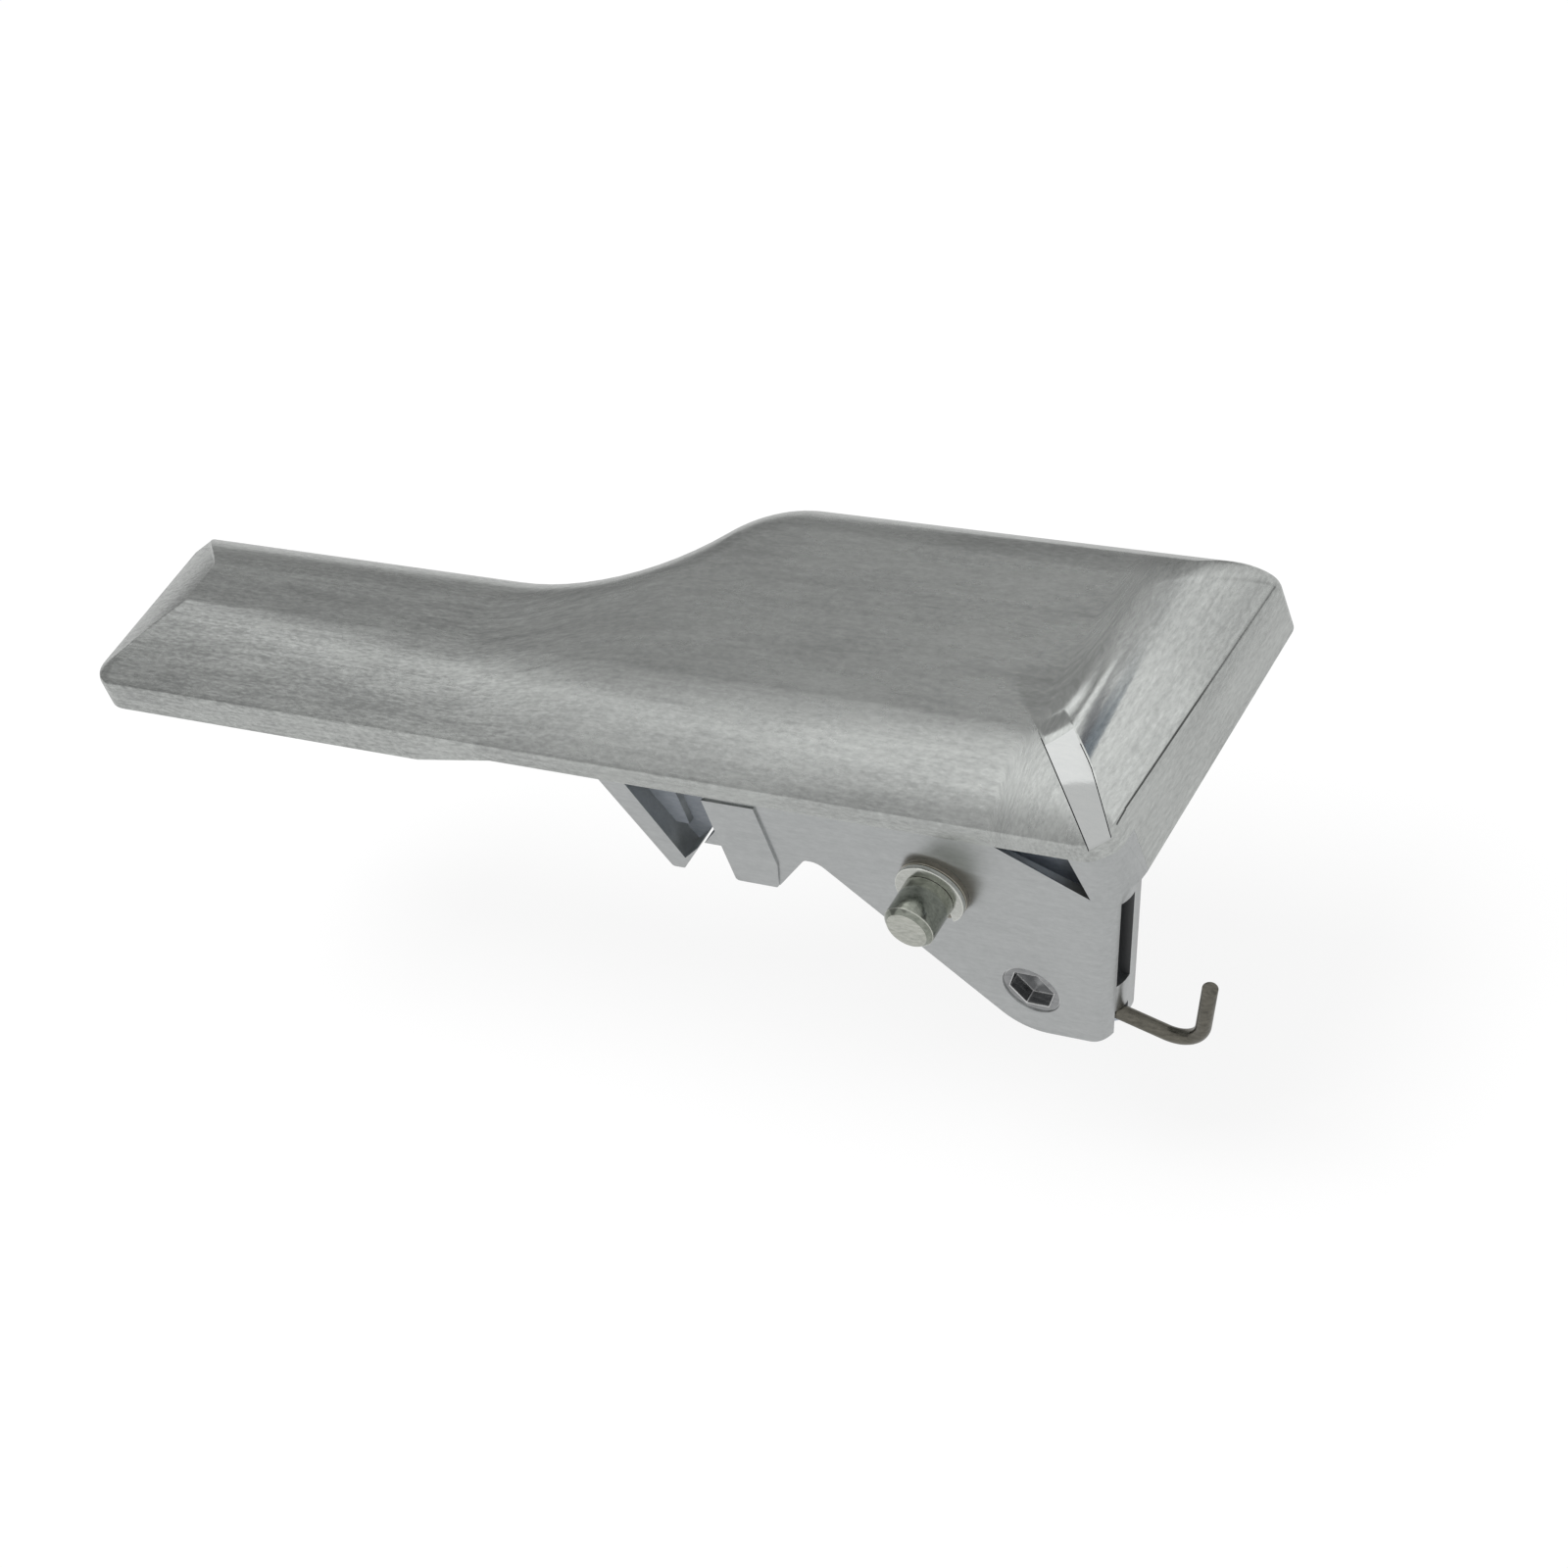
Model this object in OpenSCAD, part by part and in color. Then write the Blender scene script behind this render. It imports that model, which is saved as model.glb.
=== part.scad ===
// Interior door release lever: a die-cast paddle with a two-walled arm that rocks on a cross pin,
// a torsion spring that returns it, and a hooked wire link that pulls the latch.
// The origin is on the pivot axis, midway through the arm. +X runs to the wide end, +Z is up.

/* [Paddle] */
// Overall length of the paddle
paddle_l = 193; // [175:1:215]
// Width of the paddle over the mechanism
paddle_w = 60.3; // [54:0.5:68]
// Width of the grip
grip_w = 36.3; // [31:0.5:42]
// Distance from the pivot axis to the wide end
pivot_to_end = 33.5; // [30:0.5:38]
// Height of the near lip above the pivot axis
lip_h = 14; // [13:0.5:17]
// Rise from the near lip to the flat top
crown_h = 6.2; // [4.5:0.1:8]
// Width of the slope along the near edge
near_slope_w = 16.5; // [13:0.5:18]
// Width of the slope at the wide end
end_slope_w = 16; // [10:0.5:20]
// Width of the slope at the tip of the grip
tip_slope_w = 12.5; // [8:0.5:16]
// Width of the rounding along the far edge
far_round_w = 11; // [8:0.5:12]
// How much the lip of the wide end stands above the near lip
end_lip_rise = 1.5; // [0:0.1:2.5]
// How much the lip of the wide end falls towards its far corner
end_lip_fall = 3.5; // [0:0.1:4]
// How much the far lip drops below the near lip
far_lip_drop = 3; // [1:0.1:4]
// Bulge of the slopes, where 1 is flat
slope_bulge = 1.9; // [1.2:0.1:2.5]
// Crease of the ridge at the tip, where 0 is fully rounded
tip_crease = 0.7; // [0:0.05:0.9]
// Crease of the ridge at the inner end of the grip
grip_crease = 0.3; // [0:0.05:0.9]
// Wall thickness of the casting
wall_t = 2.4; // [1.8:0.1:3]
// Distance from the grip's tip to where the far edge starts to widen
blend_start = 69.5; // [55:0.5:80]
// Radius of the hollow half of the widening
blend_in_r = 34; // [28:0.5:42]
// Radius of the round half of the widening
blend_out_r = 19; // [16:0.5:26]
// Corner radius of the paddle in plan
corner_r = 5; // [3:0.5:6]
// Radius of the wide end's far corner in plan
far_corner_r = 3; // [2:0.5:6]

/* [Skirt] */
// Depth of the skirt round the grip
grip_skirt = 4.5; // [3.5:0.1:6]
// Depth of the near lip over the arm
lip_t = 1.8; // [1.4:0.1:2.2]
// Depth of the wall at the wide end, below the near lip
end_skirt = 10; // [8:0.5:12]
// Distance from the grip's tip to where the near skirt starts to rise
ramp_start = 67.5; // [55:0.5:80]
// Length over which the near skirt rises to the lip
ramp_l = 15.5; // [10:0.5:20]
// Thickness of the ribs under the paddle
rib_t = 2; // [1.5:0.1:2.6]
// Depth of the ribs under the paddle
rib_h = 5; // [3:0.5:6]

/* [Arm] */
// Thickness of the arm across both walls
arm_t = 6.6; // [6.2:0.1:8]
// Thickness of the arm's near wall
near_wall_t = 1.6; // [1.4:0.1:1.8]
// Gap between the arm's walls, where the link swings
gap_t = 2.8; // [2.7:0.1:3]
// How far the near lip stands out over the arm's near wall
lip_overhang = 1; // [0.8:0.1:1.5]
// Distance of the link's axis towards the wide end from the pivot
link_x = 10.1; // [9:0.1:12]
// Distance of the link's axis below the pivot
link_drop = 20; // [18:0.5:23]
// Radius of the arm's lower end round the link's axis
arm_end_r = 9.4; // [9:0.1:10.5]
// Slope of the arm's lower edge, in degrees
arm_slope = 48.6; // [44:0.2:52]
// Lean of the arm's edge at the wide end, in degrees
arm_lean = 18.5; // [16:0.5:20]
// Radius of the arm's lower corner
heel_r = 5; // [3:0.5:6]
// Height of the notches above the pivot axis
notch_h = 0.5; // [0:0.1:2]
// Depth of the stop block below the pivot axis
stop_drop = 6.3; // [4.5:0.1:8]
// Distance from the pivot axis to the near side of the stop block
stop_x = 28; // [26:0.5:31]
// Width of the stop block
stop_w = 9.4; // [7:0.1:10.5]
// How far the stop block stands out of the near wall
stop_proud = 0.5; // [0.3:0.1:0.7]
// Distance from the pivot axis to the top of the slanted web
web_x = 57.2; // [55:0.2:61]
// Width of the slanted web
web_w = 4.2; // [3.4:0.1:4.8]

/* [Pivot] */
// Diameter of the pivot pin
pin_d = 8; // [7.6:0.1:8.2]
// Length of each free end of the pin, outside its retaining ring
pin_free_l = 7.2; // [5:0.1:10]
// Chamfer on the ends of the pin
pin_chamfer = 0.8; // [0.4:0.1:1.2]
// Wall thickness of the flanged bushes
bush_wall = 0.8; // [0.6:0.1:1]
// Diameter of the bush flanges, washer and rings
flange_d = 11.3; // [11:0.1:13]
// Thickness of the bush flanges and the washer
flange_t = 1; // [0.8:0.1:1.4]
// Thickness of the retaining rings
ring_t = 0.9; // [0.7:0.1:1.2]
// Depth of the grooves that hold the rings
groove_depth = 0.55; // [0.4:0.05:0.8]
// Opening of the retaining rings
ring_gap = 5; // [4:0.2:6]

/* [Return spring] */
// Wire diameter of the return spring
spring_wire_d = 1.6; // [1.2:0.1:1.8]
// Whole turns of the return spring
spring_turns = 4; // [3:1:5]
// Gap between neighbouring turns
spring_turn_gap = 0.15; // [0.1:0.05:0.4]
// Length of the leg that bears on the lever
lever_leg_l = 26; // [20:1:28]
// Length of the leg that bears on the door bracket
bracket_leg_l = 20; // [14:1:22]

/* [Link] */
// Wire diameter of the pull link
link_wire_d = 2.4; // [2:0.1:2.4]
// Diameter of the socket pin that carries the link
link_pin_d = 9.4; // [8.6:0.1:10]
// Width across the flats of the socket
socket_af = 6.5; // [5.5:0.1:7]
// Depth of the socket
socket_depth = 2.4; // [1.5:0.1:3]
// Distance from the link's axis to the corner of the hook
link_reach = 26; // [22:0.5:30]
// Length of the hook's end leg from that corner
hook_l = 15; // [12:0.5:18]
// Angle of the link below level, in degrees
link_angle = 21.5; // [19:0.5:26]
// Radius of the bend on the wire's centre line
bend_r = 5.5; // [4:0.1:7]

/* [Clearances] */
// Radial clearance of the pin in its bushes, and of the link's eye
running_clear = 0.05; // [0.02:0.01:0.1]
// Radial clearance of a pressed-in bush or pin
seat_clear = 0.02; // [0.01:0.01:0.03]
// End play between faces that turn against each other
end_play = 0.1; // [0.05:0.05:0.2]
// Room round parts that move past each other
free_gap = 0.4; // [0.3:0.05:0.6]

/* [Hidden] */
$fn = 96;
eps = 0.01;

// Limits of the paddle and the arm in the part's frame
tip_x = pivot_to_end - paddle_l;
end_x = pivot_to_end;
arm_near_y = -arm_t / 2;
arm_far_y = arm_t / 2;
near_y = arm_near_y - lip_overhang;
far_y = near_y + paddle_w;
grip_far_y = near_y + grip_w;
top_z = lip_h + crown_h;
gap_near_y = arm_near_y + near_wall_t;
gap_far_y = gap_near_y + gap_t;
link_y = (gap_near_y + gap_far_y) / 2;
link_z = -link_drop;

// Angle of the widening, at which its two arcs meet in one tangent
blend_angle = acos(1 - (paddle_w - grip_w) / (blend_in_r + blend_out_r));
blend_x = tip_x + blend_start + blend_in_r * tan(blend_angle / 2);
blend_run = (paddle_w - grip_w) / tan(blend_angle);
ramp_x = tip_x + ramp_start;

// Sizes on the pivot pin, from the arm outwards
bush_r = pin_d / 2 + running_clear + bush_wall;
near_ring_y = arm_near_y - flange_t - end_play - ring_t;
spring_near_y = arm_far_y + flange_t + free_gap + spring_wire_d / 2;
spring_pitch = spring_wire_d + spring_turn_gap;
spring_far_y = spring_near_y + spring_pitch * (spring_turns + 0.25);
spring_r = pin_d / 2 + free_gap * 2 + spring_wire_d / 2;
washer_y = spring_far_y + spring_wire_d / 2 + free_gap;
far_ring_y = washer_y + flange_t + end_play;
pin_near_y = near_ring_y - pin_free_l;
pin_far_y = far_ring_y + ring_t + pin_free_l;

// Point i of an arc with n steps
function arc_point(c, r, from, to, i, n) =
    let (a = from + (to - from) * i / n) [c[0] + r * cos(a), c[1] + r * sin(a)];

// Outline through corners [x, y, radius], each corner rounded in n steps
function rounded(corners, n) = [
    for (k = [0 : len(corners) - 1])
        let (
            here = corners[k],
            prev = corners[(k + len(corners) - 1) % len(corners)],
            next = corners[(k + 1) % len(corners)],
            p = [here[0], here[1]],
            in_dir = unit(p - [prev[0], prev[1]]),
            out_dir = unit([next[0], next[1]] - p),
            turn = atan2(in_dir[0] * out_dir[1] - in_dir[1] * out_dir[0], in_dir * out_dir),
            r = here[2],
            side = turn < 0 ? -1 : 1,
            start = p - in_dir * r * tan(abs(turn) / 2),
            c = start + side * r * [-in_dir[1], in_dir[0]],
            a = atan2(start[1] - c[1], start[0] - c[0])
        )
        if (r > 0)
            for (i = [0 : n]) arc_point(c, r, a, a + turn, i, n)
        else
            p
];
function unit(v) = v / norm(v);

// Plan of the paddle, drawn in from the lip by a distance on each of its sides
plan_steps = 8;
foot_drop_run = 0.5;
function plan(near, end, far, tip, r_tip, r_end, r_far) =
    let (shift = far * tan(blend_angle / 2))
    rounded([
        [tip_x + tip, near_y + near, r_tip],
        [ramp_x, near_y + near, 0],
        [ramp_x + ramp_l, near_y + near, 0],
        [end_x - end, near_y + near, r_end],
        [end_x - end, near_y + near + r_end + foot_drop_run, 0],
        [end_x - end, far_y - far, r_far],
        [blend_x + blend_run + shift, far_y - far, blend_out_r - far],
        [blend_x + shift, grip_far_y - far, blend_in_r + far],
        [tip_x + tip, grip_far_y - far, r_tip]
    ], plan_steps);

// Values along the plan, given as a pair at each corner: before and after it
function along(pairs) = [
    for (k = [0 : len(pairs) - 1])
        if (k == 1 || k == 2 || k == 4)
            pairs[k][0]
        else
            for (i = [0 : plan_steps]) pairs[k][0] + (pairs[k][1] - pairs[k][0]) * i / plan_steps
];
end_lip_z = lip_h + end_lip_rise;
far_lip_z = lip_h - far_lip_drop;
lip_zs = along([[lip_h, lip_h], [lip_h, lip_h], [lip_h, lip_h], [lip_h, end_lip_z],
                [end_lip_z, end_lip_z], [end_lip_z - end_lip_fall, far_lip_z], [far_lip_z, far_lip_z],
                [far_lip_z, far_lip_z], [far_lip_z, lip_h]]);
grip_z = lip_h - grip_skirt;
lip_under_z = lip_h - lip_t;
end_z = lip_h - end_skirt;
foot_zs = along([[grip_z, grip_z], [grip_z, grip_z], [lip_under_z, lip_under_z],
                 [lip_under_z, lip_under_z], [end_z, end_z], [end_z, end_z], [end_z, end_z],
                 [end_z, grip_z], [grip_z, grip_z]]);
roundness = along([[0, 0], [0, 0], [0, 0], [0, 0], [0, 0], [0, 1], [1, 1], [1, 1], [1, 0]]);
creases = along([[tip_crease, tip_crease], [grip_crease, grip_crease], [grip_crease, grip_crease],
                 [0, 0], [0, 0], [0, 0], [0, 0], [0, 0], [0, tip_crease]]);

// The small edge break at the lip, as shares of the slope's height and width
edge_break_h = 0.13;
edge_break_w = 0.015;

// Height of a slope from 0 at the lip to 1 at the flat top, at a share u of its width
function slope(u, crease) =
    let (v = max(u, edge_break_w), bulged = 1 - pow(1 - v, slope_bulge))
    u <= 0 ? 0 : edge_break_h + (1 - edge_break_h) * (bulged + crease * (v - bulged));
function round_over(u) = sqrt(max(0, 1 - pow(1 - u, 2)));
function profile(u, q, crease) = (1 - q) * slope(u, crease) + q * round_over(u);

// One ring of the skin, a share u of the way from its lip, drawn in by inset, to its flat top
ridge_r = 0.4;
tip_sharpening = 6;
function ring(u, inset, low_zs, high_z) =
    let (
        r = corner_r - inset / 2,
        r_tip = ridge_r + (r - ridge_r) * pow(1 - u, tip_sharpening),
        widths = [near_slope_w, end_slope_w, far_round_w, tip_slope_w],
        ins = [for (w = widths) inset + (w - inset) * u],
        outline = plan(ins[0], ins[1], ins[2], ins[3], r_tip, r, far_corner_r - inset / 2)
    )
    [
        for (i = [0 : len(outline) - 1])
            let (p = outline[i], rise = high_z - low_zs[i])
            [p[0], p[1], low_zs[i] + rise * profile(u, roundness[i], creases[i])]
    ];
function flat_ring(outline, zs) = [for (i = [0 : len(outline) - 1]) [outline[i][0], outline[i][1], zs[i]]];

// Strips of faces between rings a and b, which have n points each
function band(a, b, n) = [
    for (i = [0 : n - 1], half = [0, 1])
        let (j = (i + 1) % n)
        half == 0 ? [a * n + i, b * n + i, b * n + j] : [a * n + i, b * n + j, a * n + j]
];

// Faces that close ring a, all from the point past its near corner, which sees every other point
fan_from = 2 * (plan_steps + 2);
function fan(a, n, up) = [
    for (i = [1 : n - 2])
        let (p = a * n + (fan_from + i) % n, q = a * n + (fan_from + i + 1) % n)
        up == 1 ? [a * n + fan_from, q, p] : [a * n + fan_from, p, q]
];

// The hollow paddle: a loft from its foot over the lip to the flat top, and a second one inside
module paddle_shell() {
    outer_steps = [0, 0.015, 0.06, 0.16, 0.3, 0.46, 0.62, 0.78, 0.9, 1];
    inner_steps = [0, 0.12, 0.35, 0.65, 1];
    lip_gap = 0.6;
    inner_r = corner_r - wall_t / 2;
    lip = plan(0, 0, 0, 0, corner_r, corner_r, far_corner_r);
    inner_lip = plan(wall_t, wall_t, wall_t, wall_t, inner_r, inner_r, far_corner_r - wall_t / 2);
    inner_zs = [for (z = lip_zs) z - lip_gap];
    rings = concat(
        [flat_ring(lip, foot_zs)],
        [for (u = outer_steps) ring(u, 0, lip_zs, top_z)],
        [flat_ring(inner_lip, foot_zs)],
        [for (u = inner_steps) ring(u, wall_t, inner_zs, top_z - wall_t)]
    );
    n = len(lip);
    top = len(outer_steps);
    foot = top + 1;
    ceiling = foot + len(inner_steps);
    faces = concat(
        [for (k = [0 : top - 1]) each band(k, k + 1, n)],
        fan(top, n, 1),
        [for (k = [foot : ceiling - 1]) each band(k + 1, k, n)],
        fan(ceiling, n, 0),
        band(foot, 0, n)
    );
    polyhedron([for (r = rings) each r], faces);
}

// Height of the middle of the skin over a line across the paddle at y, with the far lip at y_far
function skin_z(y, y_far, crease) =
    let (
        u = min((y - near_y) / near_slope_w, (y_far - y) / far_round_w, 1),
        near_side = (y - near_y) / near_slope_w < (y_far - y) / far_round_w,
        low = near_side ? lip_h : far_lip_z
    )
    low + (top_z - low) * profile(u, near_side ? 0 : 1, crease) - wall_t / 2;

// A rib across the paddle at x, from y0 to y1, with its lower edge at foot_z
module cross_rib(x, y0, y1, y_far, foot_z, crease) {
    steps = 12;
    ys = [for (i = [0 : steps]) y0 + (y1 - y0) * i / steps];
    crest = [for (y = ys) [y, skin_z(y, y_far, crease)]];
    translate([x - rib_t / 2, 0, 0])
        rotate([90, 0, 90])
            linear_extrude(rib_t)
                polygon(concat([[y1, foot_z], [y0, foot_z]], crest));
}

// X of the arm's edge at the wide end, at a height z below the end wall, and beside that wall
function edge_x(z) = end_x - lip_overhang - (end_z - z) * tan(arm_lean);
flush_x = end_x - 2 * eps;

// Outline of both walls of the arm, seen from the near side
arm_foot_z = link_z - arm_end_r;
knee_x = link_x - arm_end_r * tan(arm_slope / 2) - (notch_h - arm_foot_z) / tan(arm_slope);
web_tip_w = 2.2;
web_lean = 22.5;
edge_r = 0.6;
notch_r = 1.2;
knee_r = 3;
web_tip_x = -web_x + (lip_under_z + stop_drop) * tan(web_lean);
stop_far_x = -stop_x - stop_w;
stop_chamfer = 1.7;
notch_run = stop_drop + notch_h;
arm_profile = rounded([
    [-web_x, lip_under_z, 0],
    [web_tip_x, -stop_drop, edge_r],
    [web_tip_x + web_tip_w, -stop_drop, edge_r],
    [stop_far_x - web_w, notch_h, notch_r],
    [stop_far_x, notch_h, edge_r],
    [stop_far_x, -stop_drop, edge_r],
    [-stop_x - stop_chamfer, -stop_drop, edge_r],
    [-stop_x - stop_chamfer + notch_run, notch_h, notch_r],
    [knee_x, notch_h, knee_r],
    [link_x - arm_end_r * tan(arm_slope / 2), arm_foot_z, arm_end_r],
    [edge_x(arm_foot_z), arm_foot_z, heel_r],
    [edge_x(end_z), end_z, 0],
    [flush_x, end_z, 0],
    [flush_x, lip_under_z, 0]
], 8);

// A plate of the arm's outline between two depths
module upright(points, y0, y1) {
    translate([0, y1, 0])
        rotate([90, 0, 0])
            linear_extrude(y1 - y0)
                polygon(points);
}

// The arm's top strip, which runs up into the skin of the paddle
module arm_root(y0, y1) {
    root_z = skin_z(y0, far_y, 0);
    translate([-web_x, y0, lip_under_z - wall_t / 2])
        cube([web_x + end_x - corner_r, y1 - y0, root_z - lip_under_z + wall_t / 2]);
}

// The cavity between the walls: open to the link, the slit at the wide end and the window
boss_wall = 3.2;
boss_r = bush_r + boss_wall;
rim_w = 2.6;
window_top_z = lip_under_z - wall_t / 2;
eye_r = link_pin_d / 2 + running_clear + link_wire_d + free_gap;
slit_top_z = end_z - rim_w;
slit_foot_z = link_z + rim_w;
module arm_cavity() {
    room = link_wire_d / 2 + free_gap;
    swing_l = 30;
    drop_angle = 55;
    between_walls = [
        [boss_r, window_top_z],
        [link_x - eye_r / 2, link_z],
        [link_x, link_z - eye_r / 2],
        [edge_x(link_z) - rim_w, link_z - room],
        [edge_x(end_z) - rim_w, window_top_z]
    ];
    slit = [
        [link_x, slit_foot_z],
        [end_x + eps, slit_foot_z],
        [end_x + eps, slit_top_z],
        [boss_r, slit_top_z]
    ];
    upright(between_walls, gap_near_y, gap_far_y);
    upright(slit, gap_near_y, gap_far_y);
    translate([link_x, gap_far_y, link_z])
        rotate([90, 0, 0])
            cylinder(r = eye_r, h = gap_t);
    upright([
        [link_x + room * sin(link_angle), link_z + room * cos(link_angle)],
        [link_x - room * sin(drop_angle), link_z - room * cos(drop_angle)],
        [link_x + swing_l * cos(drop_angle), link_z - swing_l * sin(drop_angle)],
        [link_x + swing_l * cos(link_angle), link_z + room - swing_l * sin(link_angle)]
    ], gap_near_y, gap_far_y);
}

// The window in the near wall beside the wide end
module end_window() {
    foot_inset = 5.5;
    head_inset = 7.3;
    foot_z = end_z - 1;
    upright([
        [boss_r, lip_under_z],
        [edge_x(end_z) - foot_inset, foot_z],
        [edge_x(end_z) - head_inset, lip_under_z]
    ], arm_near_y - eps, gap_near_y + eps);
}

// The pocket between the slanted web and the stop block, open to the near side
module web_pocket() {
    inner_x = -web_x + web_w;
    drop = 4.4;
    shelf_w = 3.4;
    shelf_rise = 3.6;
    floor_t = 0.2;
    foot_z = notch_h - drop;
    upright([
        [inner_x, lip_under_z],
        [inner_x + (lip_under_z - foot_z) * tan(web_lean), foot_z],
        [stop_far_x - shelf_w, notch_h + floor_t],
        [stop_far_x, notch_h + shelf_rise],
        [stop_far_x, lip_under_z]
    ], arm_near_y - eps, gap_far_y);
}

// The step on the pocket's back wall
module pocket_step() {
    step_w = 5.1;
    step_t = 1.2;
    step_inset = 6.4;
    translate([-web_x + step_inset, gap_far_y - step_t, notch_h])
        cube([step_w, step_t + eps, lip_under_z - notch_h]);
}

// The block on the near wall that meets the stop in the door
module stop_block() {
    top_gap = 1.4;
    chamfer_h = 5.1;
    upright(rounded([
        [stop_far_x, -stop_drop, edge_r],
        [-stop_x - stop_chamfer, -stop_drop, edge_r],
        [-stop_x, -stop_drop + chamfer_h, edge_r],
        [-stop_x, lip_under_z - top_gap, 0],
        [stop_far_x, lip_under_z - top_gap, 0]
    ], 4), arm_near_y - stop_proud, arm_near_y + near_wall_t / 2);
}

// What the rounded return takes off the arm's near edge, from the lip's underside down to the foot
module return_round() {
    steps = 8;
    out = 1;
    arm_r = corner_r - lip_overhang;
    wall_r = corner_r + lip_overhang;
    levels = [
        [edge_x(arm_foot_z - out), arm_foot_z - out, arm_r],
        [edge_x(slit_top_z), slit_top_z, arm_r],
        [flush_x, end_z, wall_r],
        [flush_x, lip_under_z + 2 * eps, arm_r]
    ];
    n = steps + 4;
    points = [
        for (level = levels)
            let (x = level[0], z = level[1], r = level[2], y = arm_near_y + r)
            each concat(
                [[x + out, arm_near_y - out, z], [x + out, y, z]],
                [for (i = [0 : steps]) let (p = arc_point([x - r, y], r, 0, -90, i, steps)) [p[0], p[1], z]],
                [[x - r, arm_near_y - out, z]]
            )
    ];
    last = len(levels) - 1;
    faces = concat(
        [for (k = [0 : last - 1]) each band(k, k + 1, n)],
        [for (i = [1 : n - 2]) [0, i, i + 1]],
        [for (i = [1 : n - 2]) [last * n, last * n + i + 1, last * n + i]]
    );
    polyhedron(points, faces);
}

// A bore through both walls of the arm
module cross_bore(x, z, r) {
    translate([x, arm_far_y + eps, z])
        rotate([90, 0, 0])
            cylinder(r = r, h = arm_t + 2 * eps);
}

// Ribs under the wide half, one of which carries the leg of the return spring
lever_leg_z = spring_r + spring_wire_d / 2;
ledge_x = lever_leg_l - 2 * rib_t;
module wide_ribs() {
    rib_foot_z = top_z - wall_t - rib_h;
    cross_rib(ledge_x, arm_far_y - eps, far_y - wall_t / 2, far_y, lever_leg_z + free_gap, 0);
    for (share = [1 / 3, 3 / 4])
        cross_rib(-web_x * share, arm_far_y - eps, far_y - far_round_w, far_y, rib_foot_z, 0);
}

// Ribs under the grip, spread between its tip and the widening
module grip_ribs() {
    count = 4;
    first_x = tip_x + tip_slope_w + rib_t;
    last_x = tip_x + blend_start - rib_t;
    rib_foot_z = grip_z + 1;
    for (i = [0 : count - 1])
        cross_rib(first_x + (last_x - first_x) * i / (count - 1), near_y + wall_t / 2,
                  grip_far_y - wall_t / 2, grip_far_y, rib_foot_z, grip_crease);
}

module lever_casting() {
    color([0.66, 0.67, 0.66])
        difference() {
            union() {
                paddle_shell();
                difference() {
                    union() {
                        upright(arm_profile, arm_near_y, arm_far_y);
                        arm_root(arm_near_y, gap_near_y);
                        arm_root(gap_far_y, arm_far_y);
                    }
                    arm_cavity();
                    end_window();
                    web_pocket();
                }
                pocket_step();
                stop_block();
                wide_ribs();
                grip_ribs();
            }
            return_round();
            cross_bore(0, 0, bush_r + seat_clear);
            cross_bore(link_x, link_z, link_pin_d / 2 + seat_clear);
        }
}

// A cylinder along Y from y0 to y1 on the pivot axis
module rod(r, y0, y1) {
    translate([0, y1, 0])
        rotate([90, 0, 0])
            cylinder(r = r, h = y1 - y0);
}

// A flanged bush whose flange lies on the arm, with the sleeve running into it
module flanged_bush() {
    sleeve_l = arm_t / 2 - end_play;
    color([0.55, 0.52, 0.44])
        difference() {
            union() {
                rod(flange_d / 2, arm_far_y, arm_far_y + flange_t);
                rod(bush_r, arm_far_y - sleeve_l, arm_far_y + eps);
            }
            rod(pin_d / 2 + running_clear, arm_far_y - sleeve_l - eps, arm_far_y + flange_t + eps);
        }
}

module near_bush() {
    mirror([0, 1, 0]) flanged_bush();
}

module far_bush() {
    flanged_bush();
}

// The cross pin, with a groove for each retaining ring and chamfered ends
module pivot_pin() {
    r = pin_d / 2;
    groove_r = r - groove_depth;
    color([0.62, 0.63, 0.56])
        rotate([90, 0, 0])
            rotate_extrude()
                polygon([
                    [0, -pin_far_y],
                    [r - pin_chamfer, -pin_far_y],
                    [r, -pin_far_y + pin_chamfer],
                    [r, -far_ring_y - ring_t - end_play / 2],
                    [groove_r, -far_ring_y - ring_t - end_play / 2],
                    [groove_r, -far_ring_y + end_play / 2],
                    [r, -far_ring_y + end_play / 2],
                    [r, -near_ring_y - ring_t - end_play / 2],
                    [groove_r, -near_ring_y - ring_t - end_play / 2],
                    [groove_r, -near_ring_y + end_play / 2],
                    [r, -near_ring_y + end_play / 2],
                    [r, -pin_near_y - pin_chamfer],
                    [r - pin_chamfer, -pin_near_y],
                    [0, -pin_near_y]
                ]);
}

// An open ring that snaps into a groove of the pin, with its near face at y
module retaining_ring(y) {
    groove_r = pin_d / 2 - groove_depth;
    color([0.68, 0.7, 0.66])
        difference() {
            rod(flange_d / 2, y, y + ring_t);
            rod(groove_r + seat_clear, y - eps, y + ring_t + eps);
            translate([-ring_gap / 2, y - eps, -flange_d])
                cube([ring_gap, ring_t + 2 * eps, flange_d]);
        }
}

module near_retaining_ring() {
    retaining_ring(near_ring_y);
}

module far_retaining_ring() {
    retaining_ring(far_ring_y);
}

module far_washer() {
    color([0.68, 0.7, 0.66])
        difference() {
            rod(flange_d / 2 + spring_wire_d, washer_y, washer_y + flange_t);
            rod(pin_d / 2 + running_clear, washer_y - eps, washer_y + flange_t + eps);
        }
}

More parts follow.
